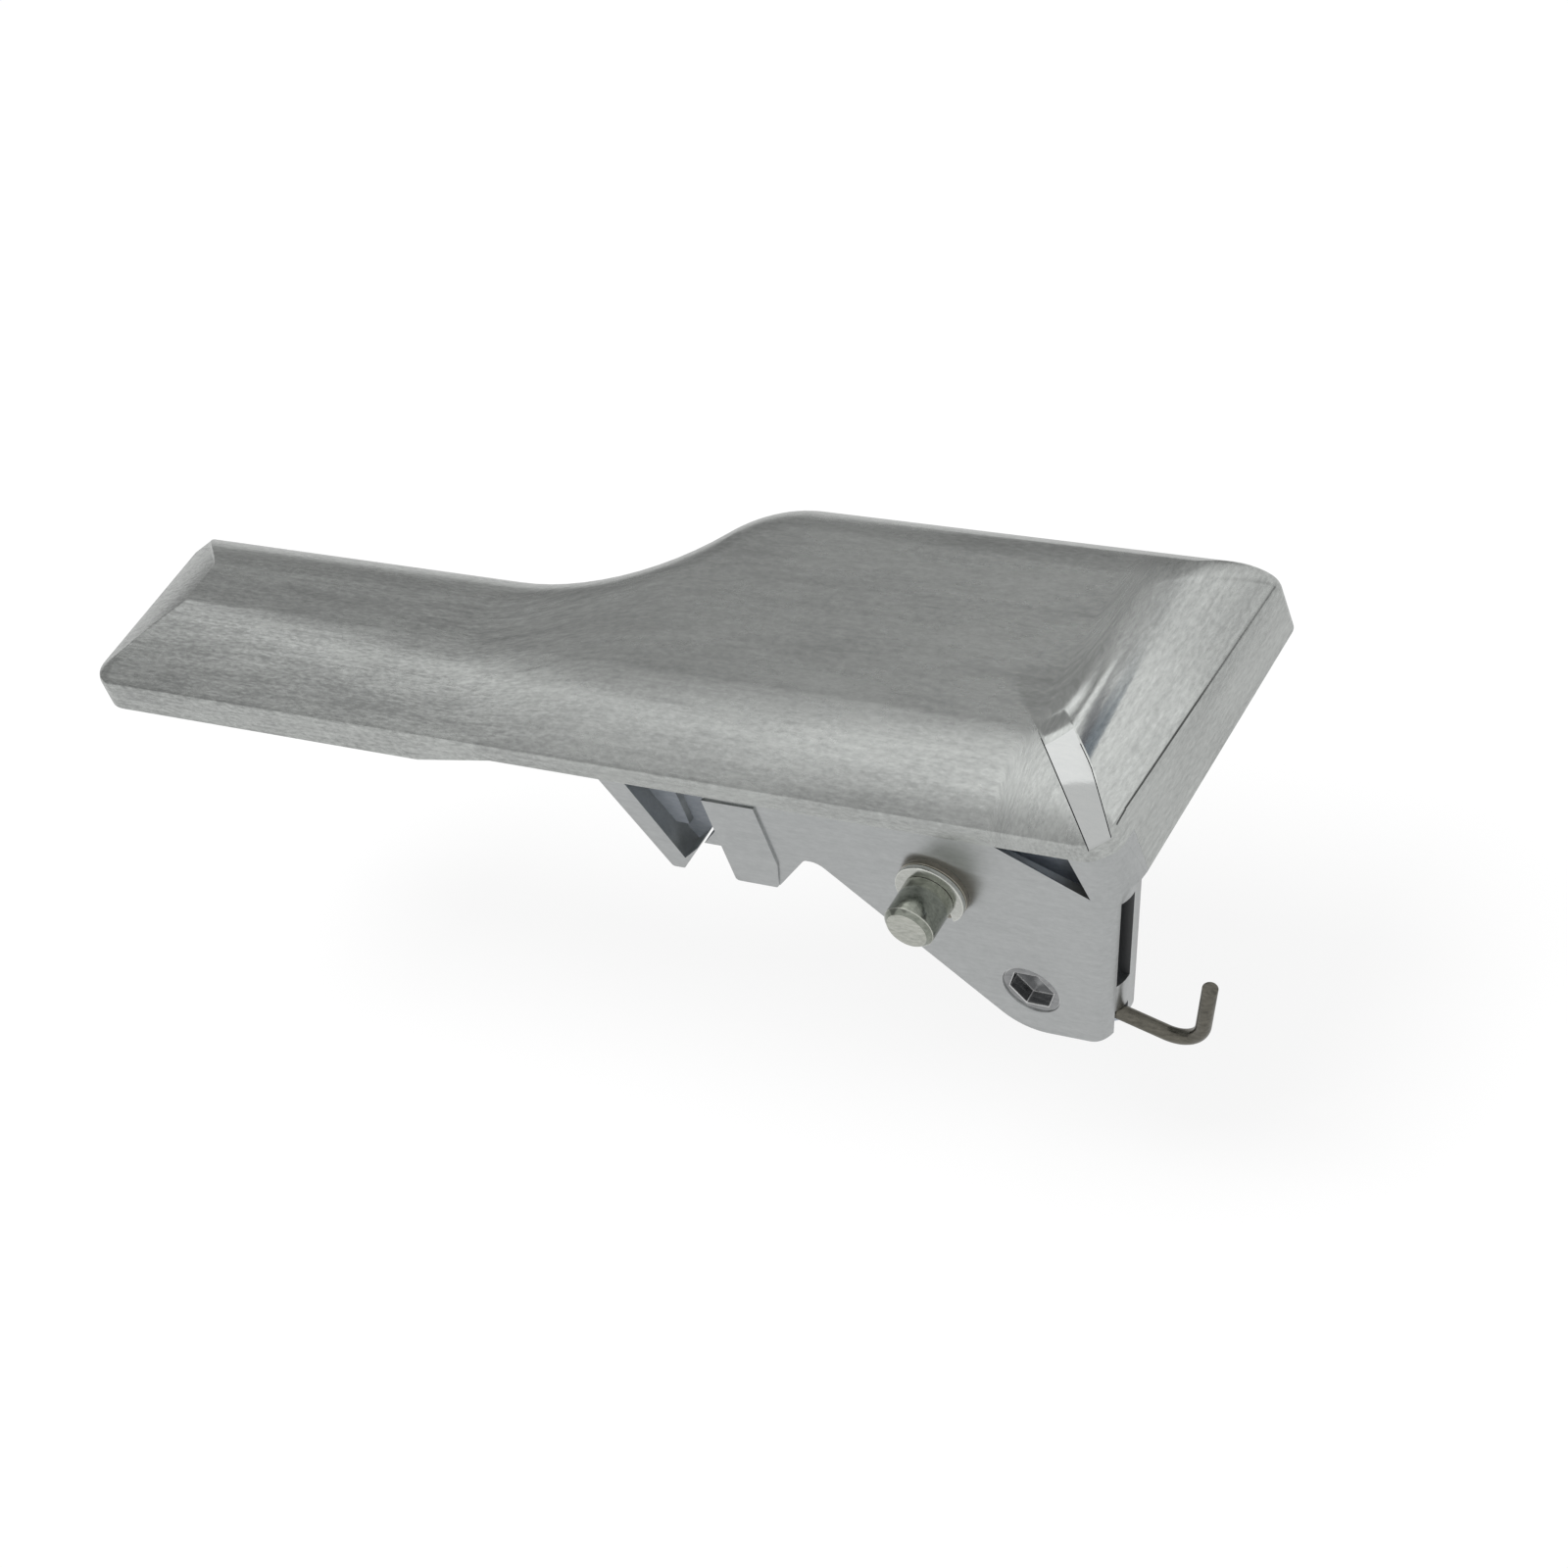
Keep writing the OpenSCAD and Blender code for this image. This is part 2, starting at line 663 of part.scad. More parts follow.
// The torsion spring: one leg runs level under a rib of the lever, the other down to the bracket
module return_spring() {
    sides = 8;
    turn_steps = 20;
    wind = 360 * spring_turns + 90;
    steps = turn_steps * spring_turns + turn_steps / 4;
    path = concat(
        [[lever_leg_l, spring_near_y, spring_r]],
        [for (i = [0 : steps])
            let (a = 90 + wind * i / steps)
            [spring_r * cos(a), spring_near_y + (spring_far_y - spring_near_y) * i / steps,
             spring_r * sin(a)]],
        [[-spring_r, spring_far_y, -bracket_leg_l]]
    );
    last = len(path) - 1;
    points = [
        for (i = [0 : last])
            let (
                t = unit(path[min(i + 1, last)] - path[max(i - 1, 0)]),
                side = unit(cross(t, [0, 1, 0])),
                rise = cross(side, t)
            )
            for (k = [0 : sides - 1])
                let (a = 360 * k / sides)
                path[i] + spring_wire_d / 2 * (side * cos(a) + rise * sin(a))
    ];
    faces = concat(
        [for (k = [0 : last - 1]) each band(k + 1, k, sides)],
        [[for (k = [sides - 1 : -1 : 0]) k]],
        [[for (k = [0 : sides - 1]) last * sides + k]]
    );
    color([0.42, 0.41, 0.38]) polyhedron(points, faces);
}

// The pin that the link's eye turns on, with a six-sided socket in its near end
module link_pin() {
    recess = 0.15;
    head_y = arm_near_y + recess;
    color([0.6, 0.6, 0.6])
        translate([link_x, 0, link_z])
            difference() {
                rod(link_pin_d / 2, head_y, arm_far_y - recess);
                translate([0, head_y + socket_depth, 0])
                    rotate([90, 0, 0])
                        cylinder(d = socket_af / cos(30), h = socket_depth + eps, $fn = 6);
            }
}

// The wire link: an eye on its pin, a straight leg, a square bend and the hook's end leg
module pull_link() {
    wire_r = link_wire_d / 2;
    eye_mid_r = link_pin_d / 2 + running_clear + wire_r;
    color([0.3, 0.29, 0.26])
        translate([link_x, link_y, link_z])
            rotate([90, link_angle, 0])
                union() {
                    rotate_extrude()
                        translate([eye_mid_r, 0])
                            circle(wire_r);
                    translate([eye_mid_r, 0, 0])
                        rotate([0, 90, 0])
                            cylinder(r = wire_r, h = link_reach - bend_r - eye_mid_r);
                    translate([link_reach - bend_r, bend_r, 0])
                        rotate([0, 0, -90])
                            rotate_extrude(angle = 90)
                                translate([bend_r, 0])
                                    circle(wire_r);
                    translate([link_reach, bend_r, 0])
                        rotate([-90, 0, 0])
                            cylinder(r = wire_r, h = hook_l - bend_r);
                }
}

lever_casting();
near_bush();
far_bush();
pivot_pin();
near_retaining_ring();
far_retaining_ring();
far_washer();
return_spring();
link_pin();
pull_link();
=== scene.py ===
from math import atan2, cos, pi, radians, sin, sqrt, tan

import bpy
from mathutils import Matrix, Vector
from mathutils.kdtree import KDTree


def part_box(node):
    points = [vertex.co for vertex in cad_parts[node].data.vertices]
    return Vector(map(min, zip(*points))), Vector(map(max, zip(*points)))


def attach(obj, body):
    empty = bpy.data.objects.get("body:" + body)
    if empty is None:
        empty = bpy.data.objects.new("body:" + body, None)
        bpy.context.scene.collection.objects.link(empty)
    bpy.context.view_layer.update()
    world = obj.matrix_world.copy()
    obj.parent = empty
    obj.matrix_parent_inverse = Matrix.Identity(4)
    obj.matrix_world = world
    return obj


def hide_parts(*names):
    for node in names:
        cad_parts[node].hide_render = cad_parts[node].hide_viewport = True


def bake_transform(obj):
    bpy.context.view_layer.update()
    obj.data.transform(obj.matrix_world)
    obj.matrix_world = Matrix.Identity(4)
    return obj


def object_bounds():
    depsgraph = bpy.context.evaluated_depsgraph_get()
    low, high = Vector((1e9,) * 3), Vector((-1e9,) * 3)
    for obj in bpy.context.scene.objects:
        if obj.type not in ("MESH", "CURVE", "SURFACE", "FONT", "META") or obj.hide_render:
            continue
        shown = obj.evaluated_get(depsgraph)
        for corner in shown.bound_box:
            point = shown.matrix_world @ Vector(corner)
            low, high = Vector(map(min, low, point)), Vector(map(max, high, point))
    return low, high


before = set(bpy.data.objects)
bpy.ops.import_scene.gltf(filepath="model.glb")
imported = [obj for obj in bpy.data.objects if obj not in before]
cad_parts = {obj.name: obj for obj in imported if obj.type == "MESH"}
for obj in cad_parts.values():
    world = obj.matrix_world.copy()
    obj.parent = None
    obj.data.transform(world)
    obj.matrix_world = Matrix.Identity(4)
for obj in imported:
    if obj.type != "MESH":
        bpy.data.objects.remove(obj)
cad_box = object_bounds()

mm = 0.001

# The camera, as the photograph was taken: from the near right, above the paddle, and rolled a little
# so that the grip rises to the left. The picture is square.
camera_place = Vector((306.1, -326.2, 397.2)) * mm
camera_right = Vector((0.8253, 0.4752, -0.3051)).normalized()
camera_up = Vector((-0.1377, 0.6934, 0.7073))
camera_back = camera_right.cross(camera_up).normalized()
camera_up = camera_back.cross(camera_right)
bpy.ops.object.camera_add()
camera = bpy.context.object
camera.name = "camera"
camera.data.lens = 93.93
camera.data.sensor_width = 36
camera.data.clip_start = 0.01
camera.matrix_world = Matrix.Translation(camera_place) @ Matrix(
    (camera_right, camera_up, camera_back)).transposed().to_4x4()
bpy.context.scene.camera = camera
bpy.context.scene.view_settings.view_transform = "Standard"


# The studio: a white floor clear of the swung link, a white surround, one soft lamp overhead, and cards
# out of the picture, which the plated metal mirrors as its darker and lighter tones.
swing_room = 31 * mm
floor_z = cad_box[0].z - swing_room
floor_size = 6.0
floor_shade_share = 0.16
floor_mirrored = 0.76
surround_mirrored = 0.8
surround_light = 0.75
card_distance = 1.3
patch_distance = 0.9


def strength_by_ray(tree, to_camera, to_mirror, to_rest):
    """A strength that depends on whether a ray comes from the camera, from a mirror or from elsewhere."""
    path = tree.nodes.new("ShaderNodeLightPath")
    strength = None
    for ray, level in (("Is Glossy Ray", to_mirror), ("Is Camera Ray", to_camera)):
        step = tree.nodes.new("ShaderNodeMath")
        step.operation = "MULTIPLY_ADD"
        tree.links.new(path.outputs[ray], step.inputs[0])
        step.inputs[1].default_value = level - to_rest
        step.inputs[2].default_value = to_rest
        if strength:
            tree.links.new(strength, step.inputs[2])
        strength = step.outputs[0]
    return strength


world = bpy.data.worlds.new("white_surround")
world.use_nodes = True
bpy.context.scene.world = world
tree = world.node_tree
surround = tree.nodes["Background"]
surround.inputs["Color"].default_value = (1, 1, 1, 1)
tree.links.new(strength_by_ray(tree, 1, surround_mirrored, surround_light), surround.inputs["Strength"])

bpy.ops.mesh.primitive_plane_add(size=floor_size, location=(0, 0, floor_z))
floor = bpy.context.object
floor.name = "floor"
floor_paint = bpy.data.materials.new("floor_paint")
floor_paint.use_nodes = True
tree = floor_paint.node_tree
tree.nodes.clear()
matt = tree.nodes.new("ShaderNodeBsdfDiffuse")
matt.inputs["Color"].default_value = (0.9, 0.9, 0.9, 1)
glow = tree.nodes.new("ShaderNodeEmission")
tree.links.new(strength_by_ray(tree, 1, floor_mirrored, 0), glow.inputs["Strength"])
floor_mix = tree.nodes.new("ShaderNodeMixShader")
tree.links.new(strength_by_ray(tree, 1 - floor_shade_share, 1, 0), floor_mix.inputs["Fac"])
tree.links.new(matt.outputs[0], floor_mix.inputs[1])
tree.links.new(glow.outputs[0], floor_mix.inputs[2])
floor_out = tree.nodes.new("ShaderNodeOutputMaterial")
tree.links.new(floor_mix.outputs[0], floor_out.inputs["Surface"])
floor.data.materials.append(floor_paint)

lamp_data = bpy.data.lights.new("overhead_lamp", "AREA")
lamp_data.shape = "DISK"
lamp_data.size = 0.7
lamp_data.energy = 9
lamp = bpy.data.objects.new("overhead_lamp", lamp_data)
lamp.location = (-0.25, -0.15, 1.1)
lamp.rotation_euler = (-lamp.location).to_track_quat("-Z", "Y").to_euler()
lamp.visible_glossy = False
bpy.context.scene.collection.objects.link(lamp)


def towards(turn, rise, distance):
    """A place in a direction: turn runs from +X round to +Y, and rise is above the floor, in degrees."""
    flat = cos(radians(rise))
    return distance * Vector((flat * cos(radians(turn)), flat * sin(radians(turn)), sin(radians(rise))))


def sky_patch(turn_from, turn_to, rise_from, rise_to):
    """The corners of a card between two directions."""
    return [towards(turn, rise, card_distance) for turn, rise in (
        (turn_from, rise_from), (turn_to, rise_from), (turn_to, rise_to), (turn_from, rise_to))]


def mirrored_from(points):
    """What the camera sees mirrored at points (x, y, z, tilt) of the end slope, in mm and degrees."""
    places = []
    for x, y, z, tilt in points:
        point = Vector((x, y, z)) * mm
        normal = Vector((sin(radians(tilt)), 0, cos(radians(tilt))))
        places.append(point + (point - camera_place).normalized().reflect(normal) * patch_distance)
    return places


def card(name, corners, shade):
    """A flat card through four corners, which shows only in the metal."""
    bpy.ops.mesh.primitive_circle_add(vertices=4, fill_type="NGON")
    panel = bpy.context.object
    panel.name = name
    for vertex, corner in zip(panel.data.polygons[0].vertices, corners):
        panel.data.vertices[vertex].co = corner
    paint = bpy.data.materials.new(name + "_paint")
    paint.use_nodes = True
    tree = paint.node_tree
    tree.nodes.clear()
    tone = tree.nodes.new("ShaderNodeEmission")
    tone.inputs["Color"].default_value = (*shade, 1)
    out = tree.nodes.new("ShaderNodeOutputMaterial")
    tree.links.new(tone.outputs[0], out.inputs["Surface"])
    panel.data.materials.append(paint)
    panel.visible_camera = False
    panel.visible_diffuse = False
    panel.visible_shadow = False


def grey(tone):
    """A plain shade."""
    return tone, tone, tone


card("far_low_card", sky_patch(95, 168, 1, 20), grey(0.32))
card("far_card", sky_patch(95, 162, 20, 44), grey(0.39))
card("far_top_card", sky_patch(140, 162, 44, 50), grey(0.39))
card("strip_light", sky_patch(110, 140, 44, 50), grey(1.3))
card("end_top_card", sky_patch(95, 110, 44, 50), grey(0.39))
card("grip_light", sky_patch(162, 174, 30, 48), grey(1.0))
card("far_light", sky_patch(118, 150, 50, 68), grey(1.2))
card("slope_card", sky_patch(150, 164, 50, 55), grey(0.5))
card("slope_light", sky_patch(150, 168, 55, 68), grey(1.3))
card("end_light", sky_patch(82, 118, 50, 72), grey(1.0))
card("end_high_light", sky_patch(56, 82, 38, 72), grey(1.0))
card("end_card", sky_patch(28, 56, 38, 72), grey(0.68))
card("lip_card", sky_patch(18, 54, 8, 34), grey(0.16))
card("near_light", sky_patch(168, 200, 56, 74), grey(1.25))
card("tip_card", sky_patch(174, 200, 42, 56), grey(0.66))
card("near_card", sky_patch(200, 255, 35, 72), grey(0.5))
card("left_card", sky_patch(168, 215, 2, 42), grey(0.3))

top_left, top_right, top_near, top_far = -0.38, 0.45, -0.38, 0.3
card("top_light", [Vector((x, y, card_distance)) for x, y in (
    (top_left, top_near), (top_right, top_near), (top_right, top_far), (top_left, top_far))], grey(0.8))

# Beside the polished strip: a bright streak along the ridge, and a dark patch with a blue rim.
ridge_spot = ((15.2, 13.2, 20.2, 0), (18.2, 13.6, 20.2, 2.5), (22, 20.5, 20, 6.5), (19.5, 21.5, 20.1, 3.5))
dark_spot = ((22.2, 20.5, 19.9, 8.5), (24.9, 20.5, 19.6, 13), (26.3, 9, 19.3, 15.5), (25.3, 9, 19.5, 14))
blue_spot = ((24.9, 20.5, 19.6, 13), (27.6, 20.5, 19.1, 17.5), (26.8, 9, 19.2, 16.5), (26.3, 9, 19.3, 15.5))
card("ridge_light", mirrored_from(ridge_spot), grey(1.8))
card("dark_strip", mirrored_from(dark_spot), (0.015, 0.02, 0.05))
card("blue_strip", mirrored_from(blue_spot), (0.13, 0.17, 0.22))


# The paddle: the plated skin of the lever's die casting, hollow underneath. A short upright skirt runs
# round it, and broad bulged slopes rise from the skirt to a flat top; the ridge is creased at the grip.
# It is lofted ring by ring from the ceiling inside, down under the skirt and up over the outside.
casting_low, casting_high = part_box("lever_casting")
tip_x = casting_low.x
end_x = casting_high.x
near_y = casting_low.y
far_y = casting_high.y
top_z = casting_high.z
grip_w = 36.3 * mm
grip_l = 69.5 * mm
lip_z = top_z - 6.2 * mm
end_lip_z = lip_z + 1.5 * mm
end_lip_fall = 3.5 * mm
far_lip_z = lip_z - 3 * mm
grip_foot_z = lip_z - 4.5 * mm
lip_foot_z = lip_z - 1.8 * mm
end_foot_z = lip_z - 10 * mm
near_slope_w = 16.5 * mm
end_slope_w = 16 * mm
far_round_w = 11 * mm
tip_slope_w = 12.5 * mm
wall_t = 2.4 * mm
inner_drop = 0.6 * mm
corner_r = 5 * mm
far_corner_r = 3 * mm
ridge_r = 0.4 * mm
tip_sharpening = 6
widen_x = tip_x + grip_l
widen_in_r = 34 * mm
widen_out_r = 19 * mm
ramp_x = tip_x + 67.5 * mm
ramp_l = 15.5 * mm
tip_crease = 0.7
grip_crease = 0.3
slope_bulge = 1.9
edge_round_w = 0.03
edge_round_h = 0.13
arm_far_y = near_y + 7.6 * mm
seam = 0.02 * mm
strip_left = 0.25
strip_left_lean = 0.07
strip_right = 0.72
strip_right_lean = 0.5
strip_right_most = 0.95
strip_flatness = 0.75
crease_line = 0.011
crease_depth = 0.1 * mm
crease_fade = 8
right_crease_top = 0.72
right_crease_fade = 5
corner_steps = 12
even_shares = [i / corner_steps for i in range(corner_steps + 1)]

grip_far_y = near_y + grip_w
widen_w = far_y - grip_far_y
widen_turn = 2 * atan2(sqrt(widen_w / 2), sqrt(widen_in_r + widen_out_r - widen_w / 2))
widen_in_x = widen_x + widen_in_r * tan(widen_turn / 2)
widen_out_x = widen_in_x + widen_w / tan(widen_turn)


def rounded_corner(before, corner, after, radius, shares):
    """Points along the arc that rounds a corner of an outline, at the given shares of its turn."""
    into = (corner - before).normalized()
    out = (after - corner).normalized()
    turn = atan2(into.x * out.y - into.y * out.x, into.dot(out))
    side = 1 if turn > 0 else -1
    start = corner - into * radius * tan(abs(turn) / 2)
    centre = start + side * radius * Vector((-into.y, into.x))
    first = atan2(start.y - centre.y, start.x - centre.x)
    return [centre + radius * Vector((cos(first + turn * s), sin(first + turn * s))) for s in shares]


def strip_shares(u):
    """Shares round the near right corner, with a point on each side of the polished strip's creases."""
    left = strip_left + strip_left_lean * u
    right = min(strip_right + strip_right_lean * u, strip_right_most)
    middle = (left + right) / 2
    return [0, left / 2, left - crease_line, left, left + crease_line, (left + middle) / 2, middle,
            (middle + right) / 2, right - crease_line, right, right + crease_line, (1 + right) / 2, 1]


strip_edges = (3, 9)


def crease_at(x):
    """How sharp the ridge is along the near edge."""
    if x < ramp_x:
        return tip_crease + (grip_crease - tip_crease) * (x - tip_x - corner_r) / (ramp_x - tip_x - corner_r)
    return grip_crease * min(1, (end_x - corner_r - x) / (end_x - corner_r - ramp_x - ramp_l))


near_xs = [-135 * mm, -113.5 * mm, ramp_x, ramp_x + ramp_l, -50 * mm, -20 * mm, 8 * mm]

# Corners of the plan: each one's lip, foot, roundness and crease before and after it.
plan_values = (
    [((lip_z, grip_foot_z, 0, tip_crease), (lip_z, grip_foot_z, 0, tip_crease), even_shares)]
    + [((lip_z, grip_foot_z if x <= ramp_x else lip_foot_z, 0, crease_at(x)),) * 2 + ([0],) for x in near_xs]
    + [((lip_z, lip_foot_z, 0, 0), (end_lip_z, lip_foot_z, 0, 0), even_shares),
       ((end_lip_z, lip_foot_z, 0, 0),) * 2 + ([0],),
       ((end_lip_z, end_foot_z, 0, 0),) * 2 + ([0],),
       ((end_lip_z - end_lip_fall, end_foot_z, 0, 0), (far_lip_z, end_foot_z, 1, 0), even_shares),
       ((far_lip_z, end_foot_z, 1, 0), (far_lip_z, end_foot_z, 1, 0), even_shares),
       ((far_lip_z, end_foot_z, 1, 0), (far_lip_z, grip_foot_z, 1, 0), even_shares),
       ((far_lip_z, grip_foot_z, 1, 0), (lip_z, grip_foot_z, 0, tip_crease), even_shares)]
)
point_values = [[a + (b - a) * s for a, b in zip(first, last)]
                for first, last, shares in plan_values for s in shares]
strip_start = len(even_shares) + len(near_xs)


def paddle_outline(u, inset):
    """The paddle's plan, a share u of the way from its lip, drawn in by inset, to its ridge."""
    near, end, far, tip = [inset + (w - inset) * u
                           for w in (near_slope_w, end_slope_w, far_round_w, tip_slope_w)]
    end_r = corner_r - inset / 2
    tip_r = ridge_r + (end_r - ridge_r) * (1 - u) ** tip_sharpening
    shift = far * tan(widen_turn / 2)
    drop_y = max(arm_far_y, near_y + near + end_r + 2 * seam)
    corners = (
        [(tip_x + tip, near_y + near, tip_r, even_shares)]
        + [(x, near_y + near, 0, [0]) for x in near_xs]
        + [(end_x - end, near_y + near, end_r, strip_shares(u)),
           (end_x - end, drop_y - seam, 0, [0]),
           (end_x - end, drop_y, 0, [0]),
           (end_x - end, far_y - far, far_corner_r - inset / 2, even_shares),
           (widen_out_x + shift, far_y - far, widen_out_r - far, even_shares),
           (widen_in_x + shift, grip_far_y - far, widen_in_r + far, even_shares),
           (tip_x + tip, grip_far_y - far, tip_r, even_shares)]
    )
    points = []
    for k, (x, y, radius, shares) in enumerate(corners):
        before = Vector(corners[k - 1][:2])
        after = Vector(corners[(k + 1) % len(corners)][:2])
        points += rounded_corner(before, Vector((x, y)), after, radius, shares)
    shares = strip_shares(u)
    left, right = strip_edges
    for k in range(left + 1, right):
        share = (shares[k] - shares[left]) / (shares[right] - shares[left])
        straight = points[strip_start + left].lerp(points[strip_start + right], share)
        points[strip_start + k] = points[strip_start + k].lerp(straight, strip_flatness)
    return points


def slope_height(u, roundness, crease):
    """Height on a slope from 0 at the lip to 1 at the flat top."""
    u = min(u, 1)
    edge = edge_round_h * sqrt(1 - (1 - min(u / edge_round_w, 1)) ** 2)
    bulged = 1 - (1 - u) ** slope_bulge
    sloped = edge + (1 - edge_round_h) * (bulged + crease * (u - bulged))
    quarter_round = sqrt(max(0, 1 - (1 - u) ** 2))
    return (1 - roundness) * sloped + roundness * quarter_round


def slope_ring(u, inset, drop, high_z, depth):
    """One ring of the skin, with the polished strip's creases sunk in by a depth."""
    ring = []
    for i, (p, values) in enumerate(zip(paddle_outline(u, inset), point_values)):
        low_z = values[0] - drop
        z = low_z + (high_z - low_z) * slope_height(u, *values[2:])
        above_lip = min(1, crease_fade * u)
        if i - strip_start == strip_edges[0]:
            z -= depth * above_lip * min(1, crease_fade * max(0, 1 - u))
        if i - strip_start == strip_edges[1]:
            z -= depth * above_lip * min(1, right_crease_fade * max(0, right_crease_top - u))
        ring.append(Vector((p.x, p.y, z)))
    return ring


def foot_ring(inset):
    """The ring at the foot of the skirt."""
    return [Vector((p.x, p.y, values[1])) for p, values in zip(paddle_outline(0, inset), point_values)]


def make_active(piece):
    """Selects one piece alone, for the operators that follow."""
    bpy.ops.object.select_all(action="DESELECT")
    piece.select_set(True)
    bpy.context.view_layer.objects.active = piece


def loft(name, rings):
    """A closed piece through rings of points: a face on the first ring, extruded from ring to ring."""
    bpy.ops.object.select_all(action="DESELECT")
    bpy.ops.mesh.primitive_circle_add(vertices=len(rings[0]), fill_type="NGON")
    piece = bpy.context.object
    piece.name = name
    for corner, place in zip(piece.data.polygons[0].vertices, rings[0]):
        piece.data.vertices[corner].co = place
    for ring in rings[1:]:
        bpy.ops.object.mode_set(mode="EDIT")
        bpy.ops.mesh.select_mode(type="FACE")
        bpy.ops.mesh.extrude_region_move()
        bpy.ops.object.mode_set(mode="OBJECT")
        moved = next(f for f in piece.data.polygons if f.select)
        for corner, place in zip(moved.vertices, ring):
            piece.data.vertices[corner].co = place
    bpy.ops.object.mode_set(mode="EDIT")
    bpy.ops.mesh.select_all(action="SELECT")
    bpy.ops.mesh.normals_make_consistent(inside=False)
    bpy.ops.object.mode_set(mode="OBJECT")
    return piece


def add_node(tree, kind, **values):
    """A shader node with its plain properties set."""
    node = tree.nodes.new(kind)
    for name, value in values.items():
        setattr(node, name, value)
    return node


def mapped(tree, value, from_low, from_high, to_low, to_high, smooth=False):
    """A value mapped from one range to another."""
    node = add_node(tree, "ShaderNodeMapRange", interpolation_type="SMOOTHSTEP" if smooth else "LINEAR")
    for socket, number in (("From Min", from_low), ("From Max", from_high),
                           ("To Min", to_low), ("To Max", to_high)):
        node.inputs[socket].default_value = number
    tree.links.new(value, node.inputs["Value"])
    return node.outputs["Result"]


def figured(tree, operation, *operands):
    """The result of a sum between values, which are sockets or plain numbers."""
    node = add_node(tree, "ShaderNodeMath", operation=operation)
    for socket, operand in zip(node.inputs, operands):
        if isinstance(operand, (int, float)):
            socket.default_value = operand
        else:
            tree.links.new(operand, socket)
    return node.outputs[0]


# Shared by all the metal: soft patches, streaks along the polishing or drawing, and a fine tooth.
grain = bpy.data.node_groups.new("metal_grain", "ShaderNodeTree")
for name, kind, start in (("Place", "NodeSocketVector", (0, 0, 0)),
                          ("Patches per metre", "NodeSocketFloat", 90.0),
                          ("Streaks per metre", "NodeSocketFloat", 900.0),
                          ("Streak run", "NodeSocketVector", (0.05, 1.0, 1.0)),
                          ("Tooth per metre", "NodeSocketFloat", 2000.0),
                          ("Tooth run", "NodeSocketVector", (0.35, 1.0, 1.0))):
    socket = grain.interface.new_socket(name, in_out="INPUT", socket_type=kind)
    socket.default_value = start
for name in ("Patch", "Streak", "Tooth"):
    grain.interface.new_socket(name, in_out="OUTPUT", socket_type="NodeSocketFloat")
group_in = add_node(grain, "NodeGroupInput")
group_out = add_node(grain, "NodeGroupOutput")
for name, scale, run, detail in (("Patch", "Patches per metre", "Tooth run", 5),
                                 ("Streak", "Streaks per metre", "Streak run", 4),
                                 ("Tooth", "Tooth per metre", "Tooth run", 3)):
    drawn_out = add_node(grain, "ShaderNodeVectorMath", operation="MULTIPLY")
    grain.links.new(group_in.outputs["Place"], drawn_out.inputs[0])
    grain.links.new(group_in.outputs[run], drawn_out.inputs[1])
    noise = add_node(grain, "ShaderNodeTexNoise")
    noise.inputs["Detail"].default_value = detail
    noise.inputs["Roughness"].default_value = 0.65
    grain.links.new(drawn_out.outputs[0], noise.inputs["Vector"])
    grain.links.new(group_in.outputs[scale], noise.inputs["Scale"])
    grain.links.new(noise.outputs["Fac"], group_out.inputs[name])


tooth_weight = 1.6
tone_low = 1.35
tone_high = 2.25
patch_low = 0.3
patch_high = 0.7


def metal(name, dark, light, rough, rough_swing, tooth_depth, **grain_values):
    """A bare or plated metal whose tone, gloss and tooth follow the grain; its links can be changed later."""
    paint = bpy.data.materials.new(name)
    paint.use_nodes = True
    tree = paint.node_tree
    shader = tree.nodes["Principled BSDF"]
    shader.inputs["Metallic"].default_value = 1
    place = add_node(tree, "ShaderNodeTexCoord", name="place")
    pattern = add_node(tree, "ShaderNodeGroup", name="pattern", node_tree=grain)
    tree.links.new(place.outputs["Object"], pattern.inputs["Place"])
    for socket, value in grain_values.items():
        pattern.inputs[socket.replace("_", " ").capitalize()].default_value = value
    mottle = figured(tree, "MULTIPLY_ADD", pattern.outputs["Tooth"], tooth_weight, pattern.outputs["Patch"])
    mixed = figured(tree, "ADD", mottle, pattern.outputs["Streak"])
    tone = mapped(tree, mixed, tone_low, tone_high, 0, 1)
    colour = add_node(tree, "ShaderNodeMix", name="colour", data_type="RGBA")
    colour.inputs["A"].default_value = (*dark, 1)
    colour.inputs["B"].default_value = (*light, 1)
    tree.links.new(tone, colour.inputs["Factor"])
    tree.links.new(colour.outputs["Result"], shader.inputs["Base Color"])
    gloss = mapped(tree, pattern.outputs["Patch"], patch_low, patch_high,
                   rough - rough_swing, rough + rough_swing)
    tree.links.new(gloss, shader.inputs["Roughness"])
    relief = figured(tree, "ADD", pattern.outputs["Streak"], pattern.outputs["Tooth"])
    bump = add_node(tree, "ShaderNodeBump", name="bump")
    bump.inputs["Strength"].default_value = 1
    bump.inputs["Distance"].default_value = tooth_depth
    tree.links.new(relief, bump.inputs["Height"])
    tree.links.new(bump.outputs["Normal"], shader.inputs["Normal"])
    return paint


inner_steps = [1, 0.82, 0.65, 0.5, 0.35, 0.22, 0.12, 0.05, 0]
edge_steps = [edge_round_w * (1 - cos(radians(a))) for a in (0, 15, 30, 45, 60, 75, 90)]
slope_steps = [0.05, 0.08, 0.12, 0.17, 0.23, 0.3, 0.37, 0.44, 0.51, 0.58, 0.65, 0.72, 0.79, 0.86, 0.92,
               0.96, 0.985, 1, 1.015, 1.06]
outer_rings = [slope_ring(u, 0, 0, top_z, crease_depth) for u in edge_steps + slope_steps]
paddle = loft("lever_paddle", [slope_ring(u, wall_t, inner_drop, top_z - wall_t, 0) for u in inner_steps]
              + [foot_ring(wall_t), foot_ring(0)] + outer_rings)
bpy.ops.object.shade_smooth_by_angle(angle=radians(16))

